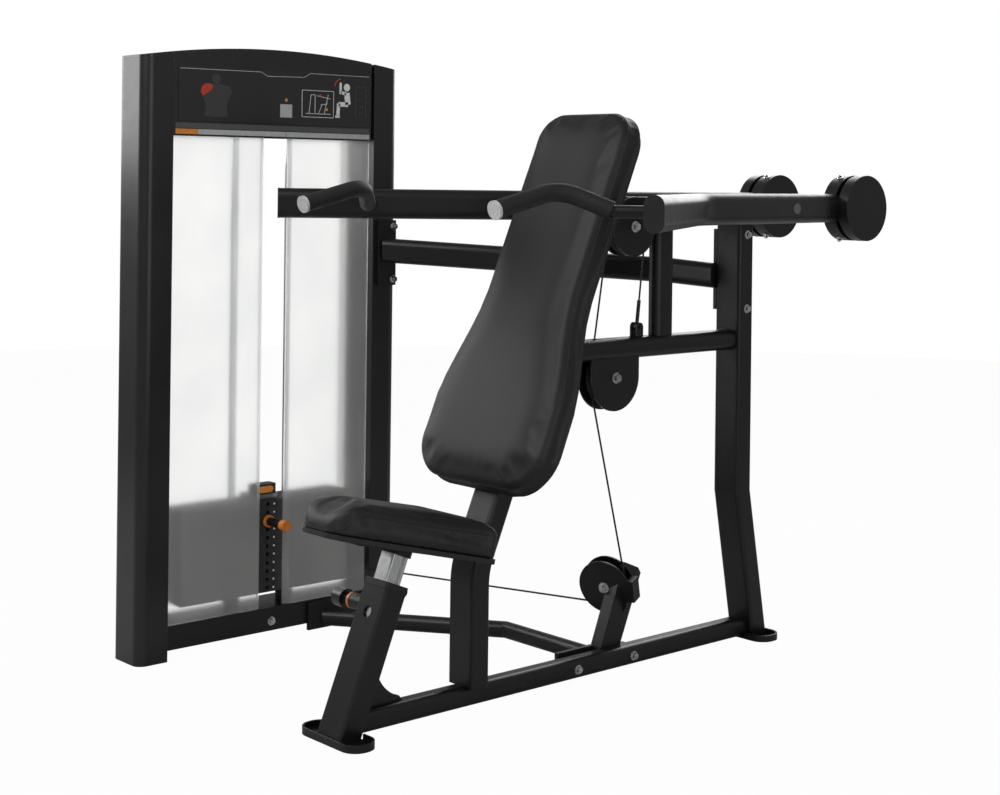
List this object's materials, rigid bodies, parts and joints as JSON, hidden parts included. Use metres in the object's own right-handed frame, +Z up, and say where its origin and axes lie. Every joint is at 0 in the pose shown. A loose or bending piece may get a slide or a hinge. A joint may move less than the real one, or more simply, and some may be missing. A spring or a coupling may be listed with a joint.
{
  "type": "shoulder press machine",
  "caption": "Selectorised seated shoulder press with a weight tower, adjustable seat and overhead press arms balanced by counterweights.",
  "frame": {"origin": "on the floor, at the centre of the front foot's underside, on the user's centre plane", "axes": "+Z up, the user faces -Y, +X is the user's left; the weight tower stands at -X"},
  "size_m": [1.6661, 1.8941, 1.66],
  "materials": {
    "frame_paint": "black powder coat with a fine orange peel, semi-gloss",
    "black_plastic": "moulded black nylon or ABS, fine texture",
    "aluminium": "bright anodised extrusion with drawn grain",
    "board": "plywood backing board, dark stained",
    "vinyl": "black upholstery vinyl with fine leather grain",
    "zinc_steel": "turned and zinc plated steel",
    "signal_plastic": "orange moulded plastic on the touch points",
    "rubber": "matt black rubber",
    "chrome": "polished chrome",
    "placard_print": "printed instruction panel, pictograms only",
    "frosted_sheet": "frosted polycarbonate sheet",
    "plate_paint": "dark grey painted steel weight plate",
    "cable_jacket": "nylon coated steel cable"
  },
  "bodies": {
    "frame": {"main_rail": "frame_paint", "foot_plates": "frame_paint", "seat_tube": "frame_paint", "seat_tube_collar": "black_plastic", "seat_pin_barrel": "zinc_steel", "seat_post": "frame_paint", "back_brackets": "frame_paint", "back_board": "board", "back_pad": "vinyl", "upper_tube": "frame_paint", "stop_post": "frame_paint", "stop_bumper": "rubber", "rear_upright": "frame_paint", "pivot_bearings": "zinc_steel", "mid_pulley_guards": "frame_paint", "lower_pulley_bracket": "frame_paint", "cable_anchor": "zinc_steel", "upper_cross_tube": "frame_paint", "lower_cross_tube": "frame_paint", "frame_bolts": "chrome", "front_column": "frame_paint", "rear_column": "frame_paint", "column_caps": "black_plastic", "base_beam": "frame_paint", "top_beam": "frame_paint", "header_cover": "black_plastic", "placard": "placard_print", "front_shields": "frosted_sheet", "guide_rods": "chrome", "stack_bumpers": "rubber", "plates_resting": "plate_paint", "cable_frame": "cable_jacket", "cable_arm": "cable_jacket", "cable_stack": "cable_jacket"},
    "press_arms": {"press_arms": "frame_paint", "pivot_axle": "zinc_steel", "arm_end_caps": "black_plastic", "handle_left": "frame_paint", "handle_right": "frame_paint", "hand_grips": "rubber", "grip_caps": "aluminium", "counterweights": "frame_paint", "counterweight_bolts": "chrome", "arm_pulley_bolt": "chrome"},
    "arm_pulley": {"arm_pulley": "black_plastic"},
    "mid_pulley": {"mid_pulley": "black_plastic"},
    "lower_pulley": {"lower_pulley": "black_plastic"},
    "foot_pulley": {"tower_foot_pulley": "black_plastic"},
    "top_rear_pulley": {"tower_top_pulley_rear": "black_plastic"},
    "top_front_pulley": {"tower_top_pulley_front": "black_plastic"},
    "lifted_stack": {"plates_lifted": "plate_paint", "selector_stem": "zinc_steel", "stack_label": "signal_plastic"},
    "selector_pin": {"selector_pin": "signal_plastic"},
    "seat": {"seat_slider": "aluminium", "seat_bracket": "frame_paint", "seat_board": "vinyl", "seat_pad": "vinyl"},
    "seat_pin": {"seat_pin": "signal_plastic"}
  },
  "joints": [
    {"name": "press_arm_hinge", "type": "hinge", "parent": "frame", "child": "press_arms", "pos_m": [0, 1.382, 1.233], "axis": [-1, 0, 0], "range_deg": [0, 30], "deforming": ["cable_arm"]},
    {"name": "arm_pulley_turn", "type": "hinge", "parent": "press_arms", "child": "arm_pulley", "pos_m": [0, 0.942, 1.182], "axis": [-1, 0, 0], "range_deg": [0, 170]},
    {"name": "mid_pulley_turn", "type": "hinge", "parent": "frame", "child": "mid_pulley", "pos_m": [0, 0.876, 0.782], "axis": [-1, 0, 0], "range_deg": [0, 360]},
    {"name": "lower_pulley_turn", "type": "hinge", "parent": "frame", "child": "lower_pulley", "pos_m": [-0.0564, 0.93686, 0.21176], "axis": [0.3205, -0.9146, -0.2464], "range_deg": [0, 450]},
    {"name": "foot_pulley_turn", "type": "hinge", "parent": "frame", "child": "foot_pulley", "pos_m": [-0.85774, 0.67082, 0.2045], "axis": [0.3307, -0.9437, 0], "range_deg": [0, 535]},
    {"name": "top_rear_pulley_turn", "type": "hinge", "parent": "frame", "child": "top_rear_pulley", "pos_m": [-0.89816, 0.60782, 1.528], "axis": [-0.9957, -0.0928, 0], "range_deg": [0, 535]},
    {"name": "top_front_pulley_turn", "type": "hinge", "parent": "frame", "child": "top_front_pulley", "pos_m": [-0.87891, 0.4013, 1.528], "axis": [-0.9957, -0.0928, 0], "range_deg": [0, 535]},
    {"name": "stack_lift", "type": "slide", "parent": "frame", "child": "lifted_stack", "axis": [0, 0, 1], "range_m": [0, 0.45], "deforming": ["cable_stack"]},
    {"name": "selector_pin_pull", "type": "slide", "parent": "lifted_stack", "child": "selector_pin", "axis": [1, 0, 0], "range_m": [0, 0.085]},
    {"name": "seat_height", "type": "slide", "parent": "frame", "child": "seat", "axis": [0, 0.3746, 0.9272], "range_m": [-0.0525, 0.0525]},
    {"name": "seat_pin_pull", "type": "slide", "parent": "frame", "child": "seat_pin", "axis": [-1, 0, 0], "range_m": [0, 0.02], "stiffness_N_per_m": 900}
  ],
  "couplings": [
    {"joint": "arm_pulley_turn", "follows": "press_arm_hinge", "ratio": 5},
    {"joint": "mid_pulley_turn", "follows": "press_arm_hinge", "ratio": 11.915},
    {"joint": "lower_pulley_turn", "follows": "press_arm_hinge", "ratio": 14.867},
    {"joint": "foot_pulley_turn", "follows": "press_arm_hinge", "ratio": 17.684},
    {"joint": "top_rear_pulley_turn", "follows": "press_arm_hinge", "ratio": 17.684},
    {"joint": "top_front_pulley_turn", "follows": "press_arm_hinge", "ratio": 17.684},
    {"joint": "stack_lift", "follows": "press_arm_hinge", "m_per_rad": 0.84}
  ]
}
